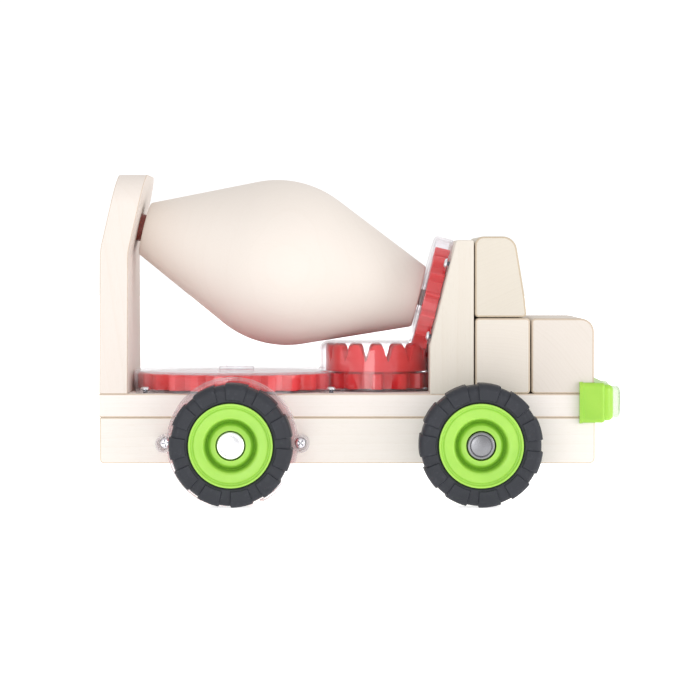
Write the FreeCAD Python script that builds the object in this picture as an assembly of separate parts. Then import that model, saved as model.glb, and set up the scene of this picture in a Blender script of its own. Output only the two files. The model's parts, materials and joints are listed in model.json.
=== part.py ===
import FreeCAD, Part
import math
import os

from FreeCAD import Vector as V

# Toy cement mixer truck. Millimetres, +Z up, +X to the front, origin on the floor
# at the middle of the outline. The wheel gear is on the -Y side.

# ---------------------------------------------------------------- dimensions
# deck and chassis
DECK_X0, DECK_X1 = -191.0, 171.0
HALF_W = 66.0                      # half width of the wooden truck
DECK_Z0, DECK_Z1 = 62.3, 79.5
BEAM_X0, BEAM_X1 = -190.3, 171.0
BEAM_Z0 = 28.6
EDGE = 0.9                         # easing of the wooden edges
BLOCK_EASE = 1.3
BLOCK_R = 2.8                      # corners of the cab blocks, seen from the side

# running gear
AXLE_Z = 44.4
AXLE_R = 3.0
REAR_X, FRONT_X = -93.0, 86.0
TYRE_R = 44.4
TYRE_BASE_R = 42.9
TYRE_IN, TYRE_OUT = 83.0, 113.0    # tyre faces, distance from the middle plane
HUB_R = 30.2
LUGS = 11
LUG_DEG = 21.6
CAP_R = 10.0
BUSH_R, BUSH_FLANGE_R = 5.0, 8.0
RUN = 0.06                         # radial running clearance

# drum and its axis: passes (AX, 0, AZ), sloping down to the front
AX, AZ = -60.5, 175.6
TILT = 14.0
U_REAR, U_FRONT = -104.2, 107.6    # drum ends along the axis
U_CUP = 108.2                      # outer face of the slanted cover over the drum gear
R_REAR, R_FRONT = 19.7, 23.1
SLOPE_REAR, SLOPE_FRONT = 0.470, 0.427
BELLY_R = 76.0                     # radius of the belly's arc in section

# gears
MAIN_X, TRANS_X = REAR_X, 12.3
MAIN_N, MAIN_RP, MAIN_RT, MAIN_RR = 24, 70.2, 74.0, 65.6
TRANS_N, TRANS_RP, TRANS_RT, TRANS_RR = 12, 35.1, 38.9, 30.6
SPUR_PA = math.radians(20.0)
SPUR_THICK = 8.7                   # tooth thickness on the pitch circle
SPUR_Z0, SPUR_Z1 = 81.3, 92.7
CROWN_N = 14
CROWN_RI, CROWN_RO = 31.6, 38.2
CROWN_Z0, CROWN_ZV, CROWN_ZT = 94.2, 102.0, 114.3
DRUM_N, DRUM_RP, DRUM_RT, DRUM_RR = 15, 36.96, 40.0, 31.4
DRUM_PA = math.radians(18.0)
DRUM_THICK = 3.9
DG_U0, DG_U1 = 111.0, 122.0
SPIGOT_R, SPIGOT_U = 6.2, 116.0     # wooden spigot of the drum, in the gear
AXG_N = 13
AXG_RO, AXG_RI = 42.0, 34.6
AXG_TOOTH_ROOT, AXG_TOOTH_TIP = 10.6, 5.6

# clear covers
WALL = 1.6
MAIN_CR, TRANS_CR = 76.6, 43.2     # outer radii of the gearbox cover
COVER_Z0, COVER_MZ, COVER_TZ = 79.5, 95.0, 116.7
TILT_CR = 47.5
SIDE_CR = 47.8

# cab
WEDGE_X0, WEDGE_X1, WEDGE_Z1 = 50.6, 82.5, 191.6
WEDGE_KNEE_Z = 114.8
UP_X0, UP_X1, UP_Z0, UP_Z1 = 83.3, 121.4, 135.4, 194.2
LO_X0, LO_X1, LO_Z1 = 83.5, 123.6, 134.7
HOOD_X0, HOOD_X1, HOOD_Z1 = 124.5, 170.2, 134.5

# bumper and lamps
BUMP_X0, BUMP_X1 = 159.4, 184.5
BUMP_HW, BUMP_Z0, BUMP_Z1 = 69.8, 58.4, 87.8
BUMP_STEP_X, BUMP_STEP, BUMP_FRONT_HW = 178.2, 1.5, 68.3
LENS_R, LENS_Y, LENS_Z, LENS_X1 = 11.8, 46.0, 72.8, 191.0

# post
POST_X0, POST_X1 = -190.5, -170.0
POST_BEND_Z, POST_TOP = 184.0, 240.0
POST_SLANT = math.tan(math.radians(12.5))
POST_HW0, POST_HW1 = 66.0, 53.0

os.makedirs("parts", exist_ok=True)
C, S = math.cos(math.radians(TILT)), math.sin(math.radians(TILT))
# the slanted face of the cab's rear wall is square to the drum's axis, at U_WEDGE along it
WEDGE_TOP_X = WEDGE_X0 + (WEDGE_Z1 - WEDGE_KNEE_Z) * S / C
U_WEDGE = (WEDGE_X0 - AX) * C - (WEDGE_KNEE_Z - AZ) * S


# ------------------------------------------------------------------- helpers
def box(x0, x1, y0, y1, z0, z1):
    return Part.makeBox(x1 - x0, y1 - y0, z1 - z0, V(x0, y0, z0))


def cyl(r, p, q):
    p, q = V(*p), V(*q)
    d = q - p
    return Part.makeCylinder(r, d.Length, p, d)


def rounded(points):
    """Closed wire through (a, b, r) points in a plane, each corner rounded by r."""
    n = len(points)
    pts = [V(p[0], p[1], 0) for p in points]
    starts, ends, mids = [], [], []
    for i in range(n):
        p, a, b, r = pts[i], pts[i - 1], pts[(i + 1) % n], points[i][2]
        if r <= 0:
            starts.append(p)
            ends.append(p)
            mids.append(None)
            continue
        da, db = (a - p).normalize(), (b - p).normalize()
        half = da.getAngle(db) / 2
        t = r / math.tan(half)
        s, e = p + da * t, p + db * t
        bis = (da + db).normalize()
        c = p + bis * (r / math.sin(half))
        starts.append(s)
        ends.append(e)
        mids.append(c - bis * r)
    edges = []
    for i in range(n):
        if mids[i] is not None:
            edges.append(Part.Arc(starts[i], mids[i], ends[i]).toShape())
        j = (i + 1) % n
        if (starts[j] - ends[i]).Length > 1e-6:
            edges.append(Part.LineSegment(ends[i], starts[j]).toShape())
    return Part.Wire(edges)


def prism_xz(points, y0, y1):
    """Rounded XZ outline pulled along Y."""
    f = Part.Face(rounded(points))
    f.rotate(V(0, 0, 0), V(1, 0, 0), 90)
    f.translate(V(0, y0, 0))
    return f.extrude(V(0, y1 - y0, 0))


def prism_yz(points, x0, x1):
    """Rounded YZ outline pulled along X."""
    f = Part.Face(rounded(points))
    f.rotate(V(0, 0, 0), V(1, 0, 0), 90)
    f.rotate(V(0, 0, 0), V(0, 0, 1), 90)
    f.translate(V(x0, 0, 0))
    return f.extrude(V(x1 - x0, 0, 0))


def prism_xy(points, z0, z1):
    f = Part.Face(rounded(points))
    f.translate(V(0, 0, z0))
    return f.extrude(V(0, 0, z1 - z0))


def ease(shape, r, keep=None):
    """Round the edges that keep() accepts; the shape is returned as it was where that can't be done."""
    edges = [e for e in shape.Edges if keep is None or keep(e)]
    try:
        out = shape.makeFillet(r, edges)
        if out.isValid() and out.Volume > 0:
            return out
    except Exception:
        pass
    print("edge easing left out:", len(edges), r)
    return shape


def revolve(points, origin=V(0, 0, 0), axis=V(0, 0, 1)):
    """Solid of revolution about +Z from (r, z) points; entries may be ('arc', (r, z), (r, z))."""
    edges = []
    cur = V(points[0][0], 0, points[0][1])
    first = cur
    for p in points[1:]:
        if p[0] == "arc":
            m, e = V(p[1][0], 0, p[1][1]), V(p[2][0], 0, p[2][1])
            edges.append(Part.Arc(cur, m, e).toShape())
            cur = e
        else:
            e = V(p[0], 0, p[1])
            if (e - cur).Length > 1e-7:
                edges.append(Part.LineSegment(cur, e).toShape())
            cur = e
    if (cur - first).Length > 1e-7:
        edges.append(Part.LineSegment(cur, first).toShape())
    return Part.Face(Part.Wire(edges)).revolve(V(0, 0, 0), V(0, 0, 1), 360)


def crown_arc(r, z, top):
    """Arc entry from (r, z) up to (0, top), square to the axis."""
    h = top - z
    big = (r * r + h * h) / (2 * h)
    m = r / 2
    return ("arc", (m, top - (big - math.sqrt(big * big - m * m))), (0, top))


def to_drum(shape):
    """From the drum's own frame (axis +Z, +X up) to the truck's."""
    m = FreeCAD.Matrix(S, 0, C, AX, 0, -1, 0, 0, C, 0, -S, AZ, 0, 0, 0, 1)
    out = shape.copy()
    out.Placement = FreeCAD.Placement(m).multiply(shape.Placement)
    return out


def to_wheel(shape, x, side):
    """From a wheel's own frame (axis +Z outwards) to the truck's; side is -1 or +1 along Y."""
    out = shape.copy()
    out.rotate(V(0, 0, 0), V(1, 0, 0), 90 if side < 0 else -90)
    out.translate(V(x, 0, AXLE_Z))
    return out


def drum_point(u, up=0.0, y=0.0):
    return (AX + u * C + up * S, y, AZ - u * S + up * C)


def spur_face(n, rp, rt, rr, thick, pa, phase, rb_scale=1.0):
    """Gear outline with involute flanks; a tooth's middle is at angle phase."""
    rb = rp * math.cos(pa)
    inv = math.tan(pa) - pa
    half = thick / 2 / rp

    def ang(r):
        r = max(r, rb + 1e-6)
        a = math.acos(min(1.0, rb / r))
        return half + inv - (math.tan(a) - a)

    def pt(r, a):
        return V(r * math.cos(a), r * math.sin(a), 0)

    r0 = max(rb + 0.05, rr + 0.05)
    radii = [r0 + (rt - r0) * k / 5.0 for k in range(6)]
    edges = []
    step = 2 * math.pi / n
    for i in range(n):
        mid = phase + i * step
        left = [pt(r, mid - ang(r)) for r in radii]
        right = [pt(r, mid + ang(r)) for r in reversed(radii)]
        foot_l = pt(rr, mid - ang(r0))
        foot_r = pt(rr, mid + ang(r0))
        nxt = pt(rr, mid + step - ang(r0))
        edges.append(Part.LineSegment(foot_l, left[0]).toShape())
        b = Part.BSplineCurve()
        b.interpolate(left)
        edges.append(b.toShape())
        edges.append(Part.Arc(left[-1], pt(rt + 0.25, mid), right[0]).toShape())
        b = Part.BSplineCurve()
        b.interpolate(right)
        edges.append(b.toShape())
        edges.append(Part.LineSegment(right[-1], foot_r).toShape())
        edges.append(Part.Arc(foot_r, pt(rr - 0.35, mid + step / 2), nxt).toShape())
    return Part.Face(Part.Wire(edges))


def screw(head_r, head_h, shank_r, length):
    """Pan-head cross-slot screw, head standing up from z = 0, shank down."""
    dome = revolve([(0, 0), (head_r, 0), ("arc", (head_r * 0.86, head_h * 0.72), (head_r * 0.45, head_h)), (0, head_h)])
    slot = box(-head_r * 0.62, head_r * 0.62, -0.4, 0.4, head_h - 0.9, head_h + 1)
    slot2 = box(-0.4, 0.4, -head_r * 0.62, head_r * 0.62, head_h - 0.9, head_h + 1)
    shank = Part.makeCylinder(shank_r, length, V(0, 0, -length))
    return dome.fuse(shank).cut(slot.fuse(slot2)).removeSplitter()


def place(shape, pos, normal, spin=0.0):
    out = shape.copy()
    out.rotate(V(0, 0, 0), V(0, 0, 1), spin)
    rot = FreeCAD.Rotation(V(0, 0, 1), V(*normal))
    out.Placement = FreeCAD.Placement(V(*pos), rot).multiply(out.Placement)
    return out


NODES = {}


def save(name, shape):
    if isinstance(shape, (list, tuple)):
        shape = Part.makeCompound(list(shape))
    NODES[name] = shape
    if not shape.isValid():
        print("not valid:", name)
    shape.exportStep("parts/%s.step" % name)


# ------------------------------------------------------------------ wheels
def tyre():
    def ring(rt, out, inn):
        return revolve([
            (HUB_R, inn + 1.2), (HUB_R + 1.6, inn), (rt - 6.0, inn),
            ("arc", (rt - 1.4, inn + 1.2), (rt, inn + 5.0)),
            (rt, out - 5.0), ("arc", (rt - 1.4, out - 1.2), (rt - 6.0, out)),
            (HUB_R + 1.6, out), (HUB_R, out - 1.2)])
    base = ring(TYRE_BASE_R, TYRE_OUT - 1.1, TYRE_IN + 1.1)
    full = ring(TYRE_R, TYRE_OUT, TYRE_IN)
    sectors = []
    for i in range(LUGS):
        a0 = math.radians(90 - LUG_DEG / 2 + i * 360.0 / LUGS)
        a1 = a0 + math.radians(LUG_DEG)
        w = Part.makePolygon([V(0, 0, TYRE_IN - 5), V(60 * math.cos(a0), 60 * math.sin(a0), TYRE_IN - 5),
                              V(60 * math.cos(a1), 60 * math.sin(a1), TYRE_IN - 5), V(0, 0, TYRE_IN - 5)])
        sectors.append(Part.Face(w).extrude(V(0, 0, TYRE_OUT - TYRE_IN + 10)))
    core = Part.makeCylinder(HUB_R + 2.4, 60, V(0, 0, TYRE_IN - 5))
    lugs = full.cut(core).common(Part.makeCompound(sectors))
    return base.fuse(lugs).removeSplitter()


def hub():
    z0, z1 = 84.2, 113.3
    body = revolve([
        (AXLE_R, 79.5), (9.0, 79.5), (9.0, 99.0), (27.2, 99.0), (27.2, z0), (HUB_R, z0),
        (HUB_R, z1 - 0.9), (HUB_R - 0.7, z1), (28.4, z1), (27.6, z1 - 0.8), (27.0, 111.2),
        ("arc", (22.6, 108.9), (18.9, 108.0)), (18.4, 106.6), (17.2, 106.6), (16.6, 108.4),
        (15.4, 109.0), (11.6, 107.6), (10.6, 106.6), (10.6, 103.0), (AXLE_R, 103.0)])
    return body


def cap():
    dome = revolve([(0, 103.2), (CAP_R, 103.2), (CAP_R, 108.6),
                    ("arc", (9.1, 110.3), (7.4, 110.9)), crown_arc(7.4, 110.9, 111.5)])
    bore = Part.makeCylinder(AXLE_R, 5.0, V(0, 0, 103.0))
    return dome.cut(bore)


TYRE, HUB, CAP = tyre(), hub(), cap()
for x, end in ((REAR_X, "rear"), (FRONT_X, "front")):
    for side, hand in ((-1, "right"), (1, "left")):
        t = TYRE.copy()
        t.rotate(V(0, 0, 0), V(0, 0, 1), -90.0 + 180.0 / LUGS)
        save("tyre_%s_%s" % (end, hand), to_wheel(t, x, side))
        save("hub_%s_%s" % (end, hand), to_wheel(HUB, x, side))
        save("axle_cap_%s_%s" % (end, hand), to_wheel(CAP, x, side))
    save("%s_axle" % end, cyl(AXLE_R, (x, -108.0, AXLE_Z), (x, 108.0, AXLE_Z)))

bush = revolve([(AXLE_R + RUN, 50.0), (BUSH_R, 50.0), (BUSH_R, HALF_W), (BUSH_FLANGE_R, HALF_W),
                (BUSH_FLANGE_R, HALF_W + 1.0), (AXLE_R + RUN, HALF_W + 1.0)])
save("axle_bushes", [to_wheel(bush, x, s) for x in (REAR_X, FRONT_X) for s in (-1, 1)])
spacer = revolve([(AXLE_R, 67.4), (7.0, 67.4), (7.0, 79.3), (AXLE_R, 79.3)])
save("front_axle_spacers", [to_wheel(spacer, FRONT_X, s) for s in (-1, 1)])
save("rear_axle_spacer", to_wheel(spacer, REAR_X, 1))

# gear on the rear axle: a disc behind the wheel, its teeth pointing inwards
AXG_WEB0, AXG_WEB1, AXG_TIP = 75.2, 79.2, 67.7
axg = revolve([(AXLE_R, 67.3), (9.0, 67.3), (9.0, AXG_WEB0), (AXG_RI, AXG_WEB0), (AXG_RI, AXG_TIP),
               (AXG_RO, AXG_TIP), (AXG_RO, AXG_WEB1), (AXLE_R, AXG_WEB1)])
pitch = 2 * math.pi * MAIN_RP / MAIN_N
axr = pitch * AXG_N / (2 * math.pi)


def axg_gap():
    """Space between two teeth, open towards the tips, at the ring's +X side; the teeth keep their width along the radius."""
    wires = []
    for r in (30.0, 50.0):
        p = math.pi * r / AXG_N
        root, tip = p - AXG_TOOTH_ROOT / 2, p - AXG_TOOTH_TIP / 2
        wires.append(Part.makePolygon([V(r, -root, AXG_WEB0), V(r, root, AXG_WEB0), V(r, tip, AXG_TIP - 0.5),
                                       V(r, -tip, AXG_TIP - 0.5), V(r, -root, AXG_WEB0)]))
    return Part.makeLoft(wires, True, True)


gaps = []
for i in range(AXG_N):
    g = axg_gap()
    g.rotate(V(0, 0, 0), V(0, 0, 1), 90 + (i + 0.5) * 360.0 / AXG_N)
    gaps.append(g)
axg = axg.cut(Part.makeCompound(gaps))
save("axle_crown_gear", to_wheel(axg, REAR_X, -1))

# ------------------------------------------------------------------- gears
main = spur_face(MAIN_N, MAIN_RP, MAIN_RT, MAIN_RR, SPUR_THICK, SPUR_PA, math.radians(7.5)).extrude(V(0, 0, SPUR_Z1 - SPUR_Z0))
main.translate(V(0, 0, SPUR_Z0))
recess = revolve([(15, SPUR_Z1 - 2.4), (59, SPUR_Z1 - 2.4), (60, SPUR_Z1 + 1), (14, SPUR_Z1 + 1)])
recess2 = revolve([(15, SPUR_Z0 + 2.4), (59, SPUR_Z0 + 2.4), (60, SPUR_Z0 - 1), (14, SPUR_Z0 - 1)])
main = main.cut(recess).cut(recess2).cut(Part.makeCylinder(5.0 + RUN, 40, V(0, 0, 70)))
main.translate(V(MAIN_X, 0, 0))
save("main_gear", main)

low = spur_face(TRANS_N, TRANS_RP, TRANS_RT, TRANS_RR, SPUR_THICK, SPUR_PA, math.pi).extrude(V(0, 0, SPUR_Z1 - SPUR_Z0))
low.translate(V(0, 0, SPUR_Z0))
neck = Part.makeCylinder(30.0, CROWN_Z0 - SPUR_Z1 + 0.4, V(0, 0, SPUR_Z1 - 0.2))
crown = revolve([(0, CROWN_Z0), (CROWN_RO, CROWN_Z0), (CROWN_RO, CROWN_ZT), (CROWN_RI, CROWN_ZT),
                 (CROWN_RI, 100.0), (0, 100.0)])


def crown_gap():
    z1, zt = CROWN_ZT - 5.2, CROWN_ZT + 0.4
    g0, g1 = 0.35, 0.35 + 0.36 * (z1 - CROWN_ZV)
    p = [V(20, -g0, CROWN_ZV), V(20, -g1, z1), V(20, -g1 - 1.15, z1 + 3.4), V(20, -6.9, zt)]
    q = [V(a.x, -a.y, a.z) for a in p]
    edges = [Part.LineSegment(p[0], p[1]).toShape(), Part.Arc(p[1], p[2], p[3]).toShape(),
             Part.LineSegment(p[3], q[3]).toShape(), Part.Arc(q[3], q[2], q[1]).toShape(),
             Part.LineSegment(q[1], q[0]).toShape(), Part.LineSegment(q[0], p[0]).toShape()]
    return Part.Face(Part.Wire(edges)).extrude(V(30, 0, 0))


gaps = []
for i in range(CROWN_N):
    g = crown_gap()
    g.rotate(V(0, 0, 0), V(0, 0, 1), i * 360.0 / CROWN_N)
    gaps.append(g)
crown = crown.cut(Part.makeCompound(gaps))
trans = low.fuse(neck).fuse(crown).cut(Part.makeCylinder(5.0 + RUN, 60, V(0, 0, 70)))
trans.translate(V(TRANS_X, 0, 0))
save("transfer_gear", trans)

dg = spur_face(DRUM_N, DRUM_RP, DRUM_RT, DRUM_RR, DRUM_THICK, DRUM_PA, math.pi).extrude(V(0, 0, DG_U1 - DG_U0))
dg.translate(V(0, 0, DG_U0))
dg = dg.cut(Part.makeCylinder(SPIGOT_R + 0.02, SPIGOT_U + 0.1 - 100.0, V(0, 0, 100.0)))
dg = dg.cut(Part.makeCylinder(4.0 + RUN, 60, V(0, 0, 90.0))).removeSplitter()
save("drum_gear", to_drum(dg))


# -------------------------------------------------------------------- drum
def drum_solid():
    # straight cones joined by a tangent arc
    ta, tb = math.atan(SLOPE_REAR), math.atan(SLOPE_FRONT)
    apex_u = (R_FRONT + SLOPE_FRONT * U_FRONT - R_REAR + SLOPE_REAR * U_REAR) / (SLOPE_REAR + SLOPE_FRONT)
    apex_r = R_REAR + SLOPE_REAR * (apex_u - U_REAR)
    half = (math.pi - ta - tb) / 2
    t = BELLY_R / math.tan(half)
    a = (apex_r - t * math.sin(ta), apex_u - t * math.cos(ta))
    b = (apex_r - t * math.sin(tb), apex_u + t * math.cos(tb))
    nx, nu = math.cos((ta - tb) / 2), -math.sin((ta - tb) / 2)
    dist = BELLY_R / math.sin(half)
    c = (apex_r - dist * nx, apex_u - dist * nu)
    m = (c[0] + BELLY_R * nx, c[1] + BELLY_R * nu)
    e, f = 1.6, 1.2
    pts = [(0, U_REAR), (R_REAR - f, U_REAR), ("arc", (R_REAR - 0.2, U_REAR + 0.25 * f), (R_REAR + f * SLOPE_REAR, U_REAR + f)),
           a, ("arc", m, b), (R_FRONT + e * SLOPE_FRONT, U_FRONT - e),
           ("arc", (R_FRONT - 0.25, U_FRONT - 0.25 * e), (R_FRONT - e, U_FRONT)),
           (SPIGOT_R, U_FRONT), (SPIGOT_R, SPIGOT_U - 0.4), (SPIGOT_R - 0.4, SPIGOT_U), (0, SPIGOT_U)]
    d = revolve(pts)
    d = d.cut(Part.makeCylinder(5.0 + RUN, 28, V(0, 0, U_REAR - 1)))
    return d.cut(Part.makeCylinder(4.0 + RUN, 40, V(0, 0, 90.0)))


save("drum", to_drum(drum_solid()))

# -------------------------------------------------------------- wooden body
deck = prism_xy([(DECK_X0, -HALF_W, 3), (DECK_X1, -HALF_W, 3), (DECK_X1, HALF_W, 3), (DECK_X0, HALF_W, 3)], DECK_Z0, DECK_Z1)
deck = ease(deck, EDGE, lambda e: e.BoundBox.ZLength < 1e-6)
beam = prism_xz([(BEAM_X0, BEAM_Z0, 3), (BEAM_X1, BEAM_Z0, 4), (BEAM_X1, DECK_Z0, 0), (BEAM_X0, DECK_Z0, 0)], -HALF_W, HALF_W)
beam = ease(beam, EDGE, lambda e: e.BoundBox.YLength < 1e-6 and e.CenterOfMass.z < DECK_Z0 - 1)

wedge = prism_xz([(WEDGE_X0, DECK_Z1, 0), (WEDGE_X1, DECK_Z1, 0), (WEDGE_X1, WEDGE_Z1, 2.0),
                  (WEDGE_TOP_X, WEDGE_Z1, 2.0), (WEDGE_X0, WEDGE_KNEE_Z, 0)], -HALF_W, HALF_W)
wedge = ease(wedge, EDGE, lambda e: e.BoundBox.YLength < 1e-6 and e.CenterOfMass.z > DECK_Z1 + 1)
upper = prism_xz([(UP_X0, UP_Z0, BLOCK_R), (UP_X1, UP_Z0, BLOCK_R), (119.9, 150.0, 60), (115.2, 178.5, 14),
                  (112.6, UP_Z1, 10.5), (UP_X0, UP_Z1, 6.5)], -HALF_W, HALF_W)
upper = ease(upper, BLOCK_EASE, lambda e: e.BoundBox.YLength < 1e-6)
lower = prism_xz([(LO_X0, DECK_Z1, BLOCK_R), (LO_X1, DECK_Z1, BLOCK_R), (LO_X1, LO_Z1, BLOCK_R), (LO_X0, LO_Z1, BLOCK_R)], -HALF_W, HALF_W)
lower = ease(lower, BLOCK_EASE, lambda e: e.BoundBox.YLength < 1e-6)
hood = prism_xz([(HOOD_X0, DECK_Z1, BLOCK_R), (HOOD_X1, DECK_Z1, BLOCK_R), (HOOD_X1, HOOD_Z1, 9.8), (HOOD_X0, HOOD_Z1, BLOCK_R)], -HALF_W, HALF_W)
hood = ease(hood, BLOCK_EASE, lambda e: e.BoundBox.YLength < 1e-6)

post = prism_xz([(POST_X0, DECK_Z1, 0), (POST_X1, DECK_Z1, 0), (POST_X1, POST_BEND_Z - 1, 30),
                 (POST_X1 + (POST_TOP - POST_BEND_Z + 1) * POST_SLANT, POST_TOP, 0),
                 (POST_X0 + (POST_TOP - POST_BEND_Z) * POST_SLANT, POST_TOP, 0), (POST_X0, POST_BEND_Z, 50)], -80, 80)
outline = prism_yz([(-POST_HW0, DECK_Z1, 0), (POST_HW0, DECK_Z1, 0), (POST_HW1, POST_TOP, 24), (-POST_HW1, POST_TOP, 24)], -200, -140)
post = post.common(outline)
post = ease(post, 2.0, lambda e: e.CenterOfMass.z > DECK_Z1 + 1 and not (abs(e.BoundBox.XLength) > 15))

# dowels: between the deck and what stands on it, and between the cab blocks
dowel_spots = [(66.0, -40.0), (66.0, 40.0), (103.0, -36.0), (103.0, 36.0), (147.0, -36.0), (147.0, 36.0)]
dowels = [cyl(4.0, (x, y, 66.0), (x, y, 96.0)) for x, y in dowel_spots]
dowels += [cyl(4.0, (102.0, y, 120.0), (102.0, y, 150.0)) for y in (-36.0, 36.0)]
post_dowels = [cyl(4.0, (-180.2, y, 66.0), (-180.2, y, 100.0)) for y in (-42.0, 0.0, 42.0)]
glue = Part.makeCompound([cyl(4.03, (x, y, 65.5), (x, y, 96.5)) for x, y in dowel_spots] +
                         [cyl(4.03, (102.0, y, 119.5), (102.0, y, 150.5)) for y in (-36.0, 36.0)] +
                         [cyl(4.03, (-180.2, y, 65.5), (-180.2, y, 100.5)) for y in (-42.0, 0.0, 42.0)])
save("cab_dowels", dowels)
save("post_dowels", post_dowels)

# pivots
rear_hole = to_drum(Part.makeCylinder(7.53, 60, V(0, 0, -160)))
post = post.cut(glue).cut(rear_hole)
pin_rear = revolve([(0, -86.0), (4.2, -86.0), (5.0, -86.8), (5.0, U_REAR - 0.8), (10.2, U_REAR - 0.8), (10.2, -112.0), (7.5, -112.0), (7.5, -140.0), (0, -140.0)])
pin_rear = to_drum(pin_rear).cut(post)
keep = prism_xz([(POST_X0 - 0.0, 150, 0), (POST_X1 + 60, 150, 0), (POST_X1 + 60, POST_TOP, 0),
                 (POST_X0 + (POST_TOP - POST_BEND_Z) * POST_SLANT + 0.4, POST_TOP, 0), (POST_X0 + 0.4, POST_BEND_Z, 0)], -80, 80)
pin_rear = pin_rear.common(keep)
solids = sorted(pin_rear.Solids, key=lambda s: -s.Volume)
save("drum_rear_pin", solids[0])
save("rear_post", post)

front_pin = to_drum(Part.makeCylinder(4.0, 142.0 - 92.0, V(0, 0, 92.0)))
save("drum_front_pin", front_pin)
save("main_gear_pin", cyl(5.0, (MAIN_X, 0, 62.6), (MAIN_X, 0, 92.9)))
save("transfer_gear_pin", cyl(5.0, (TRANS_X, 0, 62.6), (TRANS_X, 0, 100.6)))

low_pocket = Part.makeCylinder(TRANS_RT + 1.4, 60, V(TRANS_X, 0, 70))
low_pocket = low_pocket.common(box(-60, 80, -60, 60, DECK_Z1, CROWN_ZT + 2.0))
wedge = wedge.cut(low_pocket).cut(glue)
wedge = wedge.cut(to_drum(Part.makeCylinder(4.02, 60, V(0, 0, 82.3))))

# screws of the clear covers
house_spots = [(-158.0, -51.0), (-158.0, 51.0), (-21.5, -49.0), (-21.5, 49.0)]
SCREW = screw(3.6, 2.0, 1.5, 12.0)
SIDE_SCREW = screw(4.0, 2.2, 1.7, 16.0)
WN, WU = (-C, 0.0, S), (S, 0.0, C)                     # normal of the slanted face, and up along it


def on_wedge(up, y, out=0.0):
    return drum_point(U_WEDGE - out, up, y)


tilt_spots = [(29.0, -46.0), (29.0, 46.0), (-26.0, -46.0), (-26.0, 46.0)]
house_screws = [place(SCREW, (x, y, 82.0), (0, 0, 1), 20 + 31 * i) for i, (x, y) in enumerate(house_spots)]
tilt_screws = [place(SCREW, on_wedge(a, y, 2.0), WN, 10 + 37 * i) for i, (a, y) in enumerate(tilt_spots)]
side_spots = [(REAR_X - 49.3, 43.8), (REAR_X + 49.3, 43.8)]
side_screws = [place(SIDE_SCREW, (x, -(HALF_W + 2.1), z), (0, -1, 0), 8 + 40 * i) for i, (x, z) in enumerate(side_spots)]
save("gearbox_cover_screws", house_screws)
save("drum_gear_cover_screws", tilt_screws)
save("side_cover_screws", side_screws)
screw_holes = Part.makeCompound([cyl(1.52, (x, y, 69.5), (x, y, 83.0)) for x, y in house_spots] +
                                [cyl(1.52, on_wedge(a, y, 3.0), on_wedge(a, y, -10.5)) for a, y in tilt_spots] +
                                [cyl(1.72, (x, -(HALF_W + 3), z), (x, -(HALF_W - 14.5), z)) for x, z in side_spots])
wedge = wedge.cut(screw_holes)

axle_holes = Part.makeCompound([cyl(BUSH_R, (x, -70, AXLE_Z), (x, 70, AXLE_Z)) for x in (REAR_X, FRONT_X)])
pins = Part.makeCompound([cyl(5.0, (MAIN_X, 0, 62.6), (MAIN_X, 0, 90)), cyl(5.0, (TRANS_X, 0, 62.6), (TRANS_X, 0, 90))])
bump_pins = Part.makeCompound([cyl(4.05, (150, y, 70.9), (175, y, 70.9)) for y in (-30, 30)])
deck = deck.cut(glue).cut(pins).cut(screw_holes).cut(bump_pins)
beam = beam.cut(axle_holes).cut(screw_holes)
upper = upper.cut(glue)
lower = lower.cut(glue)
hood = hood.cut(glue)
save("deck_board", deck)
save("chassis_beam", beam)
save("cab_rear_wall", wedge)
save("cab_upper_block", upper)
save("cab_lower_block", lower)
save("hood_block", hood)

# ------------------------------------------------------------------ bumper
b = box(BUMP_X0, BUMP_STEP_X, -BUMP_HW, BUMP_HW, BUMP_Z0, BUMP_Z1)
b = ease(b, 3.4, lambda e: e.BoundBox.XLength > 5)
b = ease(b, 2.6, lambda e: e.BoundBox.XLength < 4 and e.CenterOfMass.x > BUMP_STEP_X - 2)
front = box(BUMP_STEP_X - 6.0, BUMP_X1, -BUMP_FRONT_HW, BUMP_FRONT_HW, BUMP_Z0 + BUMP_STEP, BUMP_Z1 - BUMP_STEP)
front = ease(front, 6.0, lambda e: e.BoundBox.ZLength > 5 and e.CenterOfMass.x > BUMP_X1 - 1)
front = ease(front, 4.0, lambda e: e.BoundBox.ZLength < 1e-6 and e.CenterOfMass.x > BUMP_X1 - 7)
b = b.fuse(front)
rim = prism_yz([(-BUMP_HW - 0.9, BUMP_Z0 - 0.5, 5), (BUMP_HW + 0.9, BUMP_Z0 - 0.5, 5),
                (BUMP_HW + 0.9, BUMP_Z1 + 0.5, 5), (-BUMP_HW - 0.9, BUMP_Z1 + 0.5, 5)], BUMP_X0, BUMP_X0 + 2.8)
rim = ease(rim, 0.6, lambda e: e.BoundBox.XLength < 1e-6 and abs(e.CenterOfMass.x - BUMP_X0 - 2.8) < 0.1)
b = b.fuse(rim)
b = b.cut(box(150, DECK_X1 + 0.05, -HALF_W - 0.1, HALF_W + 0.1, 40, 110))
b = b.cut(box(DECK_X1 - 1, BUMP_X1 - 3.0, -HALF_W + 1.4, HALF_W - 1.4, BUMP_Z0 + 5.0, BUMP_Z1 - 5.0))
for y in (-30, 30):
    b = b.fuse(cyl(4.0, (151, y, 70.9), (BUMP_X1 - 2.5, y, 70.9)))
for y in (-LENS_Y, LENS_Y):
    b = b.cut(cyl(9.65, (BUMP_X1 - 5, y, LENS_Z), (BUMP_X1 + 1, y, LENS_Z)))
save("bumper", b.removeSplitter())

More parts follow.
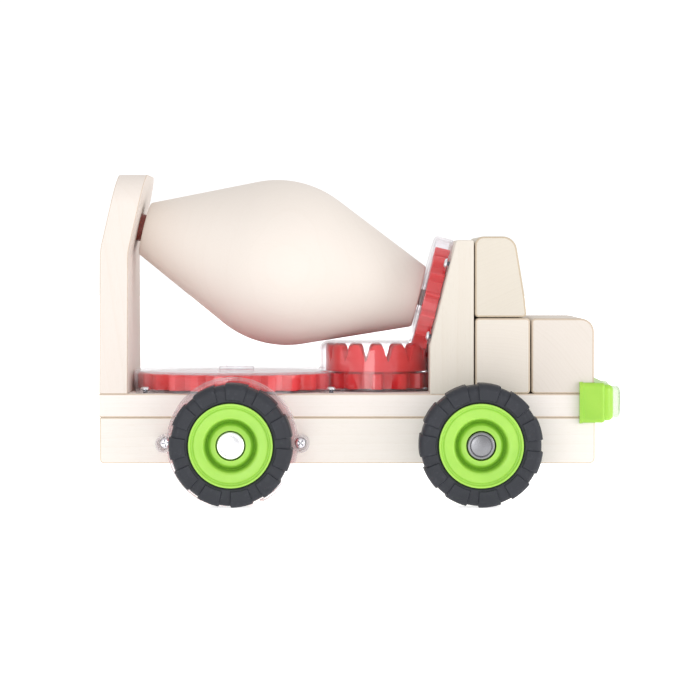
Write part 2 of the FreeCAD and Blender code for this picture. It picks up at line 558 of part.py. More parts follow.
lens = revolve([(0, -2.6), (9.6, -2.6), (9.6, 0.05), (LENS_R, 0.05), (LENS_R, 3.4),
                ("arc", (LENS_R - 0.9, 5.4), (LENS_R - 3.4, 6.1)), crown_arc(LENS_R - 3.4, 6.1, LENS_X1 - BUMP_X1)])
save("headlight_lenses", [place(lens, (BUMP_X1, y, LENS_Z), (1, 0, 0)) for y in (-LENS_Y, LENS_Y)])

# ------------------------------------------------------------- clear covers
def two_cans(r1, r2, z1, z2, fillet):
    a = Part.makeCylinder(r1, z1 - COVER_Z0, V(MAIN_X, 0, COVER_Z0))
    a = a.makeFillet(min(fillet, 2.2), [e for e in a.Edges if e.CenterOfMass.z > z1 - 0.1 and e.BoundBox.ZLength < 1e-6])
    c = Part.makeCylinder(r2, z2 - COVER_Z0, V(TRANS_X, 0, COVER_Z0))
    c = c.makeFillet(fillet, [e for e in c.Edges if e.CenterOfMass.z > z2 - 0.1 and e.BoundBox.ZLength < 1e-6])
    return a, c


oa, oc = two_cans(MAIN_CR, TRANS_CR, COVER_MZ, COVER_TZ, 7.0)
ia, ic = two_cans(MAIN_CR - WALL, TRANS_CR - WALL, COVER_MZ - WALL, COVER_TZ - 1.4, 5.4)
tabs = []
for x, y in house_spots:
    if x < -100:
        web = [(x - 6.5, y - 7 * (1 if y < 0 else -1) * 0 - 6.5, 3), (x + 22, y - 6.5, 3), (x + 22, y + 6.5, 3), (x - 6.5, y + 6.5, 3)]
        tabs.append(prism_xy(web, COVER_Z0, 82.0))
    else:
        s = 1 if y > 0 else -1
        web = [(x - 12.5, s * 20, 0.5), (x + 12.5, s * 20, 0.5), (x + 7.5, y + s * 6.5, 5), (x - 7.5, y + s * 6.5, 5)]
        if s > 0:
            web = web[::-1]
        tabs.append(prism_xy(web[::-1] if s > 0 else web, COVER_Z0, 82.0))
ring1 = revolve([(8.0, COVER_MZ - 0.4), (13.2, COVER_MZ - 0.4), (13.2, COVER_MZ + 2.0), (12.3, COVER_MZ + 2.2), (12.3, COVER_MZ + 4.0),
                 (11.6, COVER_MZ + 4.4), (8.8, COVER_MZ + 4.4), (8.0, COVER_MZ + 3.8)])
ring1.translate(V(MAIN_X, 0, 0))
top_disc = Part.makeCylinder(8.2, 1.2, V(MAIN_X, 0, COVER_MZ + 0.6))
cover = oa.fuse(oc).fuse(tabs[0]).fuse(tabs[1]).fuse(tabs[2]).fuse(tabs[3]).fuse(ring1).fuse(top_disc)
cover = cover.cut(ia).cut(ic)
# front: the cover ends on the cab's rear wall, and under the tilted cover
cover = cover.cut(box(WEDGE_X0 - 0.05, 120, -80, 80, 60, 130))
tilt_outer = to_drum(Part.makeCylinder(TILT_CR + 0.1, 60, V(0, 0, U_CUP - 0.1)))
cover = cover.cut(tilt_outer.common(box(-60, 120, -80, 80, 98.0, 220)))
# near side: window for the gear on the axle
window = to_wheel(Part.makeCylinder(SIDE_CR - WALL, 30, V(0, 0, HALF_W + 0.3)), REAR_X, -1)
window = window.common(box(REAR_X - 26, REAR_X + 26, -90, -HALF_W - 0.3, 70, 89.2))
cover = cover.cut(window)
cover = cover.cut(Part.makeCompound([cyl(1.7, (x, y, 70), (x, y, 90)) for x, y in house_spots]))
cover = cover.removeSplitter()
print("gearbox cover solids", len(cover.Solids))
cover = sorted(cover.Solids, key=lambda s: -s.Volume)[0]
save("gearbox_cover", cover)

plate = Part.makeCylinder(MAIN_CR - WALL - 0.15, 1.2, V(MAIN_X, 0, DECK_Z1)).fuse(Part.makeCylinder(TRANS_CR - WALL - 0.15, 1.2, V(TRANS_X, 0, DECK_Z1)))
plate = plate.cut(box(WEDGE_X0 - 0.1, 120, -80, 80, 60, 130)).cut(window.fuse(box(REAR_X - 26, REAR_X + 26, -90, -HALF_W - 0.3, 70, 89)))
plate = plate.cut(cyl(5.1, (MAIN_X, 0, 70), (MAIN_X, 0, 90))).cut(cyl(5.1, (TRANS_X, 0, 70), (TRANS_X, 0, 90)))
save("gear_base_plate", plate.removeSplitter())

cup = revolve([(11.5, U_CUP), (TILT_CR - 3.0, U_CUP), ("arc", (TILT_CR - 0.88, U_CUP + 0.88), (TILT_CR, U_CUP + 3)),
               (TILT_CR, U_WEDGE), (TILT_CR - WALL, U_WEDGE), (TILT_CR - WALL, U_CUP + 3.1),
               ("arc", (TILT_CR - 2.0, U_CUP + 2), (TILT_CR - 3.0, U_CUP + 1.6)), (11.5, U_CUP + 1.6)])
# four tabs for screws, flat on the slanted face
tilt_tabs = None
for a, y in tilt_spots:
    d = math.hypot(a, y)
    ex, ey = a / d, -y / d
    q = [(a + ex * l - ey * w, -y + ey * l + ex * w, 0) for l, w in ((-15.0, -6.2), (0.0, -6.2), (0.0, 6.2), (-15.0, 6.2))]
    piece = Part.makeCylinder(6.2, 2.0, V(a, -y, U_WEDGE - 2.0)).fuse(prism_xy(q, U_WEDGE - 2.0, U_WEDGE))
    tilt_tabs = piece if tilt_tabs is None else tilt_tabs.fuse(piece)
tilt_tabs = tilt_tabs.cut(Part.makeCylinder(TILT_CR - 0.8, 60, V(0, 0, U_CUP + 1.6)))
cup = to_drum(cup.fuse(tilt_tabs))
cup = cup.cut(box(WEDGE_X0, 120, -80, 80, 40, WEDGE_KNEE_Z))
cup = cup.cut(Part.makeCompound([cyl(1.7, on_wedge(a, y, 5), on_wedge(a, y, -5)) for a, y in tilt_spots]))
trans_can = Part.makeCylinder(TRANS_CR + 0.1, COVER_TZ + 0.1 - 60, V(TRANS_X, 0, 60))
trans_can = trans_can.makeFillet(7.0, [e for e in trans_can.Edges if e.CenterOfMass.z > COVER_TZ and e.BoundBox.ZLength < 1e-6])
cup = cup.cut(trans_can)
cup = cup.cut(box(-60, 120, -80, 80, 40, 98.0))
print("drum gear cover solids", len(cup.Solids))
cup = sorted(cup.Solids, key=lambda s: -s.Volume)[0]
save("drum_gear_cover", cup)

# side cover round the gear on the axle: a shallow cup, open below, ears for two screws
SC_OUT = 81.6
side = revolve([(12.5, SC_OUT - WALL), (SIDE_CR - WALL - 1.0, SC_OUT - WALL), (SIDE_CR - WALL, SC_OUT - WALL - 1.0),
                (SIDE_CR - WALL, HALF_W + 0.1), (SIDE_CR, HALF_W + 0.1), (SIDE_CR, SC_OUT - 2.0),
                ("arc", (SIDE_CR - 0.6, SC_OUT - 0.6), (SIDE_CR - 2.0, SC_OUT)), (12.5, SC_OUT)])
side = to_wheel(side, REAR_X, -1)
ears = None
for x, z in side_spots:
    e = cyl(6.6, (x, -(HALF_W + 0.1), z), (x, -(HALF_W + 2.1), z))
    e = e.fuse(box(min(x, x + (6 if x < REAR_X else -6)), max(x, x + (6 if x < REAR_X else -6)), -(HALF_W + 2.1), -(HALF_W + 0.1), z - 6.6, z + 6.6))
    ears = e if ears is None else ears.fuse(e)
inside = to_wheel(Part.makeCylinder(SIDE_CR - WALL / 2, 40, V(0, 0, HALF_W - 1)), REAR_X, -1)
side = side.fuse(ears.cut(inside))
side = side.cut(box(-200, 0, -100, -60, -20, 2.6))
keep_out = Part.makeCylinder(MAIN_CR + 0.15, 60, V(MAIN_X, 0, COVER_Z0 - 0.15))
side = side.cut(keep_out)
well = Part.makeCompound([cyl(6.4, (x, -(HALF_W + 0.1), z), (x, -SC_OUT, z)) for x, z in side_spots])
side = side.fuse(well).cut(Part.makeCompound([cyl(4.9, (x, -(HALF_W + 2.1), z), (x, -(SC_OUT + 5), z)) for x, z in side_spots]))
side = side.cut(Part.makeCompound([cyl(1.9, (x, -80, z), (x, -60, z)) for x, z in side_spots]))
print("side cover solids", len(side.Solids))
side = sorted(side.Solids, key=lambda s: -s.Volume)[0]
save("side_cover", side.removeSplitter())

bb = Part.makeCompound(list(NODES.values())).BoundBox
print("nodes", len(NODES))
print("box", [round(v, 2) for v in (bb.XMin, bb.XMax, bb.YMin, bb.YMax, bb.ZMin, bb.ZMax)])
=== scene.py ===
import json
import math

import bmesh
import bpy
from mathutils import Matrix, Vector


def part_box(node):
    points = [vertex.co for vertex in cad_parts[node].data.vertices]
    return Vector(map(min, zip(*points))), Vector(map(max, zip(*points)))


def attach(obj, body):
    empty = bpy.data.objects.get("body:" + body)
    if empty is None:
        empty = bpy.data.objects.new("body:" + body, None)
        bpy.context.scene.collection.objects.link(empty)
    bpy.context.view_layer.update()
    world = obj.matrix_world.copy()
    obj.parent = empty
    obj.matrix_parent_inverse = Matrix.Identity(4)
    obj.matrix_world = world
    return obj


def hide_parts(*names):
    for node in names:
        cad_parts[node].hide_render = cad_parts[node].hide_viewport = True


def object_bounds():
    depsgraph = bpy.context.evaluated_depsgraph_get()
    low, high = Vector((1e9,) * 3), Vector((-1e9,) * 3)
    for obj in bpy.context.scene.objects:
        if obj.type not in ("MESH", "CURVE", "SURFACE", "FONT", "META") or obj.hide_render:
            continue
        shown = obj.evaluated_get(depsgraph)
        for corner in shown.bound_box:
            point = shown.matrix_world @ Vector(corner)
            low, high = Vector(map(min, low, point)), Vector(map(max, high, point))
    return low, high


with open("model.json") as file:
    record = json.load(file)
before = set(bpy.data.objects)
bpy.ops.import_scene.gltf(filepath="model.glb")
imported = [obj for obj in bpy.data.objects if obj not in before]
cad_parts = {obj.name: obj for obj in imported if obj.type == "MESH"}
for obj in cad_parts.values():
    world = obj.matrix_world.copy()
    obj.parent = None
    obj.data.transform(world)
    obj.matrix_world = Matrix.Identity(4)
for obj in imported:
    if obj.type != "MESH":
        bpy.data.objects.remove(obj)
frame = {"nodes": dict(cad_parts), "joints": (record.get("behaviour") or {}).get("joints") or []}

bpy.context.view_layer.update()
CAD_LO, CAD_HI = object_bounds()

MM = 0.001
NODES = frame["nodes"]
JOINTS = {j["name"]: j for j in frame["joints"]}


def centre(node):
    lo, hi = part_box(node)
    return (lo + hi) / 2


# ---------------------------------------------------------------- node helpers
def new_material(name):
    m = bpy.data.materials.new(name)
    m.use_nodes = True
    nt = m.node_tree
    nt.nodes.clear()
    out = nt.nodes.new("ShaderNodeOutputMaterial")
    b = nt.nodes.new("ShaderNodeBsdfPrincipled")
    nt.links.new(b.outputs["BSDF"], out.inputs["Surface"])
    return m, nt, b


def feed(nt, sock, value):
    if isinstance(value, bpy.types.NodeSocket):
        nt.links.new(value, sock)
    elif value is not None:
        sock.default_value = value


def calc(nt, op, a, b=None, c=None, clamp=False):
    n = nt.nodes.new("ShaderNodeMath")
    n.operation = op
    n.use_clamp = clamp
    feed(nt, n.inputs[0], a)
    if b is not None:
        feed(nt, n.inputs[1], b)
    if c is not None:
        feed(nt, n.inputs[2], c)
    return n.outputs[0]


def vec(nt, op, a, b):
    n = nt.nodes.new("ShaderNodeVectorMath")
    n.operation = op
    feed(nt, n.inputs[0], a)
    feed(nt, n.inputs[1], b)
    return n.outputs[0]


def mapped(nt, v, loc=(0, 0, 0), rot=(0, 0, 0), scale=(1, 1, 1)):
    n = nt.nodes.new("ShaderNodeMapping")
    nt.links.new(v, n.inputs["Vector"])
    n.inputs["Location"].default_value = loc
    n.inputs["Rotation"].default_value = rot
    n.inputs["Scale"].default_value = scale
    return n.outputs[0]


def noise(nt, v, scale, detail=2.0, rough=0.5, distort=0.0):
    n = nt.nodes.new("ShaderNodeTexNoise")
    nt.links.new(v, n.inputs["Vector"])
    n.inputs["Scale"].default_value = scale
    n.inputs["Detail"].default_value = detail
    n.inputs["Roughness"].default_value = rough
    n.inputs["Distortion"].default_value = distort
    return n.outputs["Fac"]


def ramp(nt, fac, stops):
    n = nt.nodes.new("ShaderNodeValToRGB")
    nt.links.new(fac, n.inputs["Fac"])
    r = n.color_ramp
    while len(r.elements) > 1:
        r.elements.remove(r.elements[-1])
    r.elements[0].position = stops[0][0]
    r.elements[0].color = grey(stops[0][1])
    for pos, col in stops[1:]:
        e = r.elements.new(pos)
        e.color = grey(col)
    return n.outputs["Color"]


def grey(c):
    if isinstance(c, (int, float)):
        return (c, c, c, 1)
    return (c[0], c[1], c[2], 1)


def blend(nt, fac, a, b, mode="MIX"):
    n = nt.nodes.new("ShaderNodeMix")
    n.data_type = "RGBA"
    n.blend_type = mode
    feed(nt, n.inputs["Factor"], fac)
    feed(nt, n.inputs[6], grey(a) if not isinstance(a, bpy.types.NodeSocket) else a)
    feed(nt, n.inputs[7], grey(b) if not isinstance(b, bpy.types.NodeSocket) else b)
    return n.outputs[2]


def bump(nt, height, strength, dist, normal=None):
    n = nt.nodes.new("ShaderNodeBump")
    n.inputs["Strength"].default_value = strength
    n.inputs["Distance"].default_value = dist
    nt.links.new(height, n.inputs["Height"])
    if normal is not None:
        nt.links.new(normal, n.inputs["Normal"])
    return n.outputs["Normal"]


def object_mm(nt, loc=(0, 0, 0)):
    """Object coordinates in millimetres, measured from loc (mm)."""
    tc = nt.nodes.new("ShaderNodeTexCoord")
    v = mapped(nt, tc.outputs["Object"], scale=(1000, 1000, 1000))
    return vec(nt, "SUBTRACT", v, loc)


# -------------------------------------------------------------------- materials
ALONG = {"X": (0, math.radians(-90), 0), "Y": (math.radians(90), 0, 0), "Z": (0, 0, 0),
         "DRUM": (0, math.radians(-104), 0)}


CONTRAST = 0.55


def wood(name, grain, pith, ring=3.2, light=(0.86, 0.795, 0.735), dark=(0.76, 0.67, 0.575), lines=0.34,
         fibre=0.22, flecks=0.25, tone=(1, 1, 1), lean=(0, 0), rough=0.56, warp=5.0, blotch=0.30):
    """Pale beech: growth rings about a pith line along the grain, fibres and short flecks. Cut faces show arcs, long faces show lines."""
    m, nt, b = new_material(name)
    v = object_mm(nt, pith)
    v = mapped(nt, v, rot=ALONG[grain])
    v = mapped(nt, v, rot=(math.radians(lean[0]), math.radians(lean[1]), 0))
    slow = noise(nt, mapped(nt, v, scale=(1, 1, 0.22)), 0.018, 2.0, 0.55)
    sep = nt.nodes.new("ShaderNodeSeparateXYZ")
    nt.links.new(v, sep.inputs[0])
    r2 = calc(nt, "ADD", calc(nt, "MULTIPLY", sep.outputs[0], sep.outputs[0]), calc(nt, "MULTIPLY", sep.outputs[1], sep.outputs[1]))
    r = calc(nt, "SQRT", r2)
    r = calc(nt, "ADD", r, calc(nt, "MULTIPLY", calc(nt, "SUBTRACT", slow, 0.5), warp * 2))
    uneven = nt.nodes.new("ShaderNodeTexNoise")
    uneven.noise_dimensions = "1D"
    nt.links.new(r, uneven.inputs["W"])
    uneven.inputs["Scale"].default_value = 0.16 / ring * 3
    uneven.inputs["Detail"].default_value = 1.0
    phase = calc(nt, "ADD", calc(nt, "DIVIDE", r, ring), calc(nt, "MULTIPLY", uneven.outputs["Fac"], 1.6))
    f = calc(nt, "FRACT", phase)
    rings = ramp(nt, f, [(0.0, 0.0), (0.45, 0.12), (0.80, 0.45), (0.93, 1.0), (1.0, 0.0)])
    yearly = nt.nodes.new("ShaderNodeTexNoise")
    yearly.noise_dimensions = "1D"
    nt.links.new(calc(nt, "FLOOR", phase), yearly.inputs["W"])
    yearly.inputs["Scale"].default_value = 3.7
    rings = calc(nt, "MULTIPLY", rings, calc(nt, "MULTIPLY", yearly.outputs["Fac"], 1.7))
    fib = noise(nt, mapped(nt, v, scale=(1, 1, 0.035)), 1.15, 3.0, 0.65)
    fib = ramp(nt, fib, [(0.32, 0.0), (0.72, 1.0)])
    fleck = noise(nt, mapped(nt, v, loc=(31, 7, 3), scale=(1, 1, 0.16)), 1.5, 1.0, 0.4)
    fleck = ramp(nt, fleck, [(0.63, 0.0), (0.71, 1.0)])
    patch = noise(nt, mapped(nt, v, loc=(5, 11, 2), scale=(1, 1, 0.3)), 0.03, 2.0, 0.6)
    mask = calc(nt, "ADD", calc(nt, "MULTIPLY", rings, lines), calc(nt, "MULTIPLY", fib, fibre))
    mask = calc(nt, "ADD", mask, calc(nt, "MULTIPLY", fleck, flecks))
    mask = calc(nt, "ADD", mask, calc(nt, "MULTIPLY", calc(nt, "SUBTRACT", patch, 0.5), blotch))
    mask = calc(nt, "MULTIPLY", mask, CONTRAST, clamp=True)
    light = tuple(c * t for c, t in zip(light, tone))
    dark = tuple(c * t for c, t in zip(dark, tone))
    col = blend(nt, mask, light, dark)
    nt.links.new(col, b.inputs["Base Color"])
    rr = calc(nt, "ADD", calc(nt, "MULTIPLY", fib, 0.10), rough)
    nt.links.new(rr, b.inputs["Roughness"])
    h = calc(nt, "ADD", calc(nt, "MULTIPLY", fib, 0.6), calc(nt, "MULTIPLY", rings, 0.5))
    h = calc(nt, "SUBTRACT", h, calc(nt, "MULTIPLY", fleck, 0.6))
    nt.links.new(bump(nt, h, 0.22, 0.00012), b.inputs["Normal"])
    b.inputs["Specular IOR Level"].default_value = 0.22
    return m


def plastic(name, colour, deep, rough=0.28, grain=0.05, scale=0.9, sub=0.0, sub_radius=(0.004, 0.002, 0.001), coat=0.0, spec=0.5, strength=0.12, recess=None):
    """Moulded plastic: faint flow marks, slight colour drift, fine mould texture."""
    m, nt, b = new_material(name)
    v = object_mm(nt)
    flow = noise(nt, v, 0.045, 3.0, 0.6, 0.6)
    fine = noise(nt, v, scale, 3.0, 0.6)
    tint = blend(nt, ramp(nt, flow, [(0.3, 0.0), (0.75, 1.0)]), colour, deep)
    if recess:
        # painted shade: the plastic colour is darkened down in the dish, by distance from the truck's middle plane
        lo_h, hi_h, shade = recess
        sep = nt.nodes.new("ShaderNodeSeparateXYZ")
        nt.links.new(v, sep.inputs[0])
        high = calc(nt, "DIVIDE", calc(nt, "SUBTRACT", calc(nt, "ABSOLUTE", sep.outputs[1]), lo_h), hi_h - lo_h, clamp=True)
        tint = blend(nt, calc(nt, "SUBTRACT", 1.0, high, clamp=True), tint, blend(nt, 1.0, tint, shade, "MULTIPLY"))
    nt.links.new(tint, b.inputs["Base Color"])
    nt.links.new(calc(nt, "ADD", calc(nt, "MULTIPLY", fine, grain * 2), rough - grain), b.inputs["Roughness"])
    nt.links.new(bump(nt, fine, strength, 0.00008), b.inputs["Normal"])
    b.inputs["Specular IOR Level"].default_value = spec
    b.inputs["Coat Weight"].default_value = coat
    b.inputs["Coat Roughness"].default_value = 0.08
    if sub:
        b.inputs["Subsurface Weight"].default_value = sub
        b.inputs["Subsurface Radius"].default_value = (1.0, 0.5, 0.25)
        b.inputs["Subsurface Scale"].default_value = 0.003
    return m


def rubber(name):
    m, nt, b = new_material(name)
    v = object_mm(nt)
    wide = noise(nt, v, 0.06, 3.0, 0.6)
    fine = noise(nt, v, 1.6, 4.0, 0.65)
    scuff = ramp(nt, noise(nt, mapped(nt, v, loc=(9, 3, 5)), 0.35, 4.0, 0.7), [(0.55, 0.0), (0.75, 1.0)])
    col = blend(nt, wide, (0.018, 0.020, 0.026), (0.029, 0.031, 0.040))
    col = blend(nt, calc(nt, "MULTIPLY", scuff, 0.30), col, (0.075, 0.078, 0.095))
    nt.links.new(col, b.inputs["Base Color"])
    nt.links.new(calc(nt, "ADD", calc(nt, "MULTIPLY", fine, 0.16), 0.44), b.inputs["Roughness"])
    nt.links.new(bump(nt, fine, 0.30, 0.00012), b.inputs["Normal"])
    b.inputs["Specular IOR Level"].default_value = 0.35
    return m


def metal(name, colour, rough, scratch=0.05, brushed=False, painted_shade_reach=0.0):
    m, nt, b = new_material(name)
    v = object_mm(nt)
    if brushed:
        s = noise(nt, mapped(nt, v, scale=(6, 1, 0.4)), 1.2, 3.0, 0.6)
    else:
        s = noise(nt, v, 0.8, 3.0, 0.6)
    stain = noise(nt, v, 0.25, 2.0, 0.6)
    tint = blend(nt, ramp(nt, stain, [(0.35, 0.0), (0.7, 1.0)]), colour, tuple(c * 0.9 for c in colour))
    if painted_shade_reach:
        # painted shade: the base colour goes dark where ambient occlusion finds a recess, such as the screws' cross
        # slots
        ao = nt.nodes.new("ShaderNodeAmbientOcclusion")
        ao.samples = 8
        ao.inputs["Distance"].default_value = painted_shade_reach
        tint = blend(nt, ramp(nt, ao.outputs["AO"], [(0.30, 0.0), (0.85, 1.0)]), (0.05, 0.05, 0.075), tint)
    nt.links.new(tint, b.inputs["Base Color"])
    b.inputs["Metallic"].default_value = 1.0
    nt.links.new(calc(nt, "ADD", calc(nt, "MULTIPLY", s, scratch), rough), b.inputs["Roughness"])
    nt.links.new(bump(nt, s, 0.05, 0.00005), b.inputs["Normal"])
    return m


def clear(name, pane=(0.985, 0.98, 0.99), skin=(0.80, 0.78, 0.83), veil=0.010, edge=0.55, power=3.4, gloss=0.033, rough=0.05, haze=0.03, wave=0.3):
    """Clear moulded styrene: a see-through pane with a little haze, glossy, pale where it is seen edge on, rippled from the mould."""
    m, nt, b = new_material(name)
    v = object_mm(nt)
    ripple = noise(nt, v, 0.05, 2.0, 0.5, 0.4)
    hz = noise(nt, v, 0.12, 3.0, 0.6)
    normal = bump(nt, ripple, wave, 0.0004)
    nt.links.new(blend(nt, hz, skin, tuple(c * 0.95 for c in skin)), b.inputs["Base Color"])
    b.inputs["Roughness"].default_value = 0.5
    see = nt.nodes.new("ShaderNodeBsdfTransparent")
    see.inputs["Color"].default_value = grey(pane)
    shine = nt.nodes.new("ShaderNodeBsdfPrincipled")
    shine.inputs["Metallic"].default_value = 1.0
    shine.inputs["Base Color"].default_value = (1, 1, 1, 1)
    nt.links.new(calc(nt, "ADD", calc(nt, "MULTIPLY", hz, haze), rough), shine.inputs["Roughness"])
    nt.links.new(normal, shine.inputs["Normal"])
    lw = nt.nodes.new("ShaderNodeLayerWeight")
    lw.inputs["Blend"].default_value = 0.5
    side = calc(nt, "POWER", lw.outputs["Facing"], power)
    body = nt.nodes.new("ShaderNodeMixShader")
    lamps = nt.nodes.new("ShaderNodeLightPath")
    solid = calc(nt, "ADD", calc(nt, "MULTIPLY", side, edge), calc(nt, "MULTIPLY", hz, veil * 2), clamp=True)
    solid = calc(nt, "MULTIPLY", solid, calc(nt, "SUBTRACT", 1.0, calc(nt, "MULTIPLY", lamps.outputs["Is Shadow Ray"], 0.9)))
    nt.links.new(calc(nt, "ADD", solid, calc(nt, "MULTIPLY", lamps.outputs["Is Diffuse Ray"], 0.15), clamp=True), body.inputs[0])
    nt.links.new(see.outputs[0], body.inputs[1])
    nt.links.new(b.outputs[0], body.inputs[2])
    skin_mix = nt.nodes.new("ShaderNodeMixShader")
    nt.links.new(calc(nt, "ADD", calc(nt, "MULTIPLY", calc(nt, "POWER", lw.outputs["Facing"], 4.5), 0.5), gloss, clamp=True), skin_mix.inputs[0])
    nt.links.new(body.outputs[0], skin_mix.inputs[1])
    nt.links.new(shine.outputs[0], skin_mix.inputs[2])
    out = next(n for n in nt.nodes if n.type == "OUTPUT_MATERIAL")
    nt.links.new(skin_mix.outputs[0], out.inputs["Surface"])
    return m


EDGE_TONE = (0.82, 0.74, 0.64)
BLOCK = dict(light=(0.80, 0.735, 0.645), dark=(0.66, 0.575, 0.47), ring=2.6, lines=0.30, fibre=0.10, flecks=0.10, warp=4.0, blotch=0.25)
# tone scales each piece's wood colour; besides small differences between boards it is painted light: the wall, cab
# blocks, post and drum are made darker where the lamps fall strongest, the deck and beam lighter where they sit in more
# shade
W = {
    "deck": dict(tone=(0.985, 0.995, 1.02), grain="X", pith=(0, 30, -160), ring=4.2, lines=0.26),
    "beam": dict(tone=(0.99, 1.015, 1.03), grain="X", pith=(0, 60, 190), ring=4.6, lines=0.28),
    "post": dict(tone=(0.90, 0.885, 0.885), grain="Z", pith=(-120, 70, 0), ring=4.0, lines=0.28),
    "wall": dict(tone=(0.82, 0.82, 0.79), grain="Z", pith=(170, -190, 0), ring=4.8, lines=0.36),
    "drum": dict(tone=(0.90, 0.89, 0.885), grain="DRUM", pith=(-60.5, 34, 175.6), ring=5.2, lines=0.13, lean=(3.2, 2.0), fibre=0.16, flecks=0.10, light=(0.86, 0.795, 0.735), dark=(0.76, 0.67, 0.585)),
    "upper": dict(tone=(0.83, 0.83, 0.82), grain="Y", pith=(150, 0, 20), **BLOCK),
    "lower": dict(tone=(0.91, 0.91, 0.93), grain="Y", pith=(85, 0, -60), **BLOCK),
    "hood": dict(tone=(0.88, 0.875, 0.91), grain="Y", pith=(60, 0, 30), **BLOCK),
}


def wood_pair(key):
    kw = dict(W[key])
    body = wood("wood_" + key, **kw)
    tone = kw.pop("tone", (1, 1, 1))
    edge = wood("wood_" + key + "_edge", tone=tuple(a * b for a, b in zip(tone, EDGE_TONE)), **kw)
    return body, edge


RED = plastic("red_gear_plastic", (0.98, 0.024, 0.030), (0.90, 0.018, 0.024), rough=0.24, grain=0.05, sub=0.12)
GREEN = plastic("lime_plastic", (0.35, 0.63, 0.060), (0.29, 0.57, 0.045), rough=0.30, grain=0.05, sub=0.10)
# the hub plastic carries painted shade in its dish (the recess argument)
LIME_HUB = plastic("lime_hub_plastic", (0.37, 0.66, 0.085), (0.31, 0.60, 0.070), rough=0.30, grain=0.05, sub=0.06, recess=(104.4, 110.0, (0.42, 0.58, 0.16)))
DARKRED = plastic("pivot_plastic", (0.30, 0.045, 0.030), (0.22, 0.032, 0.022), rough=0.35)
GREY = plastic("bush_plastic", (0.42, 0.43, 0.44), (0.36, 0.37, 0.38), rough=0.4)
RUBBER = rubber("tyre_rubber")
CHROME = metal("cap_chrome", (0.93, 0.93, 0.95), 0.14, 0.06)
# painted reflection: the front caps are the same chrome as the rear ones, given a dark base colour for the grey, darker
# reflection they show
CHROME_PAINTED_DIM = metal("cap_chrome_painted_dim", (0.27, 0.27, 0.285), 0.22, 0.08)
STEEL = metal("screw_steel", (0.84, 0.84, 0.86), 0.22, 0.12, brushed=True)
# screw heads: painted shade in their cross slots
SCREW = metal("screw_head_steel", (0.84, 0.84, 0.87), 0.22, 0.12, painted_shade_reach=0.0016)
CLEAR = clear("clear_cover")
CLEAR_SIDE = clear("clear_side_cover", skin=(0.93, 0.88, 0.89), veil=0.07, edge=0.60, power=3.0)
LENS = clear("lamp_lens", pane=(0.80, 0.86, 0.75), skin=(0.62, 0.70, 0.55), veil=0.10, edge=0.45, power=2.2, gloss=0.03, rough=0.14, haze=0.10)
DOWEL = wood("wood_dowel", grain="Z", pith=(-40, 20, 0), ring=3.0)


# ----------------------------------------------------------------- mesh helpers
def make(name, verts, faces, mats, sharp=32.0):
    me = bpy.data.meshes.new(name)
    me.from_pydata([tuple(v) for v in verts], [], faces)
    bm = bmesh.new()
    bm.from_mesh(me)
    bmesh.ops.recalc_face_normals(bm, faces=bm.faces)
    bm.to_mesh(me)
    bm.free()
    for m in mats:
        me.materials.append(m)
    me.shade_smooth()
    me.set_sharp_from_angle(angle=math.radians(sharp))
    o = bpy.data.objects.new(name, me)
    bpy.context.scene.collection.objects.link(o)
    return o


def soften(o, width, segments=3, angle=40.0, material=-1):
    md = o.modifiers.new("edges", "BEVEL")
    md.width = width
    md.segments = segments
    md.limit_method = "ANGLE"
    md.angle_limit = math.radians(angle)
    md.harden_normals = True
    md.material = material
    return o


def fillet(points, seg=6):
    """Closed outline through (a, b, r) points with each corner rounded by r."""
    out = []
    n = len(points)
    for i in range(n):
        p, a, b, r = Vector(points[i][:2]), Vector(points[i - 1][:2]), Vector(points[(i + 1) % n][:2]), points[i][2]
        if r <= 0:
            out.append(tuple(p))
            continue
        da, db = (a - p).normalized(), (b - p).normalized()
        ang = da.angle(db)
        t = r / math.tan(ang / 2)
        s, e = p + da * t, p + db * t
        c = p + (da + db).normalized() * (r / math.sin(ang / 2))
        a0 = math.atan2(*(s - c).yx)
        a1 = math.atan2(*(e - c).yx)
        d = (a1 - a0 + math.pi) % (2 * math.pi) - math.pi
        k = max(2, int(math.ceil(seg * abs(d) / (math.pi / 2))))
        for j in range(k + 1):
            w = a0 + d * j / k
            out.append((c.x + r * math.cos(w), c.y + r * math.sin(w)))
    return out


def arc3(p, q, s, k=8):
    """Points on the circle from p through q to s, p left out."""
    ax, ay = p
    bx, by = q
    cx, cy = s
    d = 2 * (ax * (by - cy) + bx * (cy - ay) + cx * (ay - by))
    ux = ((ax * ax + ay * ay) * (by - cy) + (bx * bx + by * by) * (cy - ay) + (cx * cx + cy * cy) * (ay - by)) / d
    uy = ((ax * ax + ay * ay) * (cx - bx) + (bx * bx + by * by) * (ax - cx) + (cx * cx + cy * cy) * (bx - ax)) / d
    r = math.hypot(ax - ux, ay - uy)
    a0, am, a1 = (math.atan2(y - uy, x - ux) for x, y in (p, q, s))
    d1 = (a1 - a0) % (2 * math.pi)
    dm = (am - a0) % (2 * math.pi)
    if dm > d1:
        d1 -= 2 * math.pi
    return [(ux + r * math.cos(a0 + d1 * j / k), uy + r * math.sin(a0 + d1 * j / k)) for j in range(1, k + 1)]


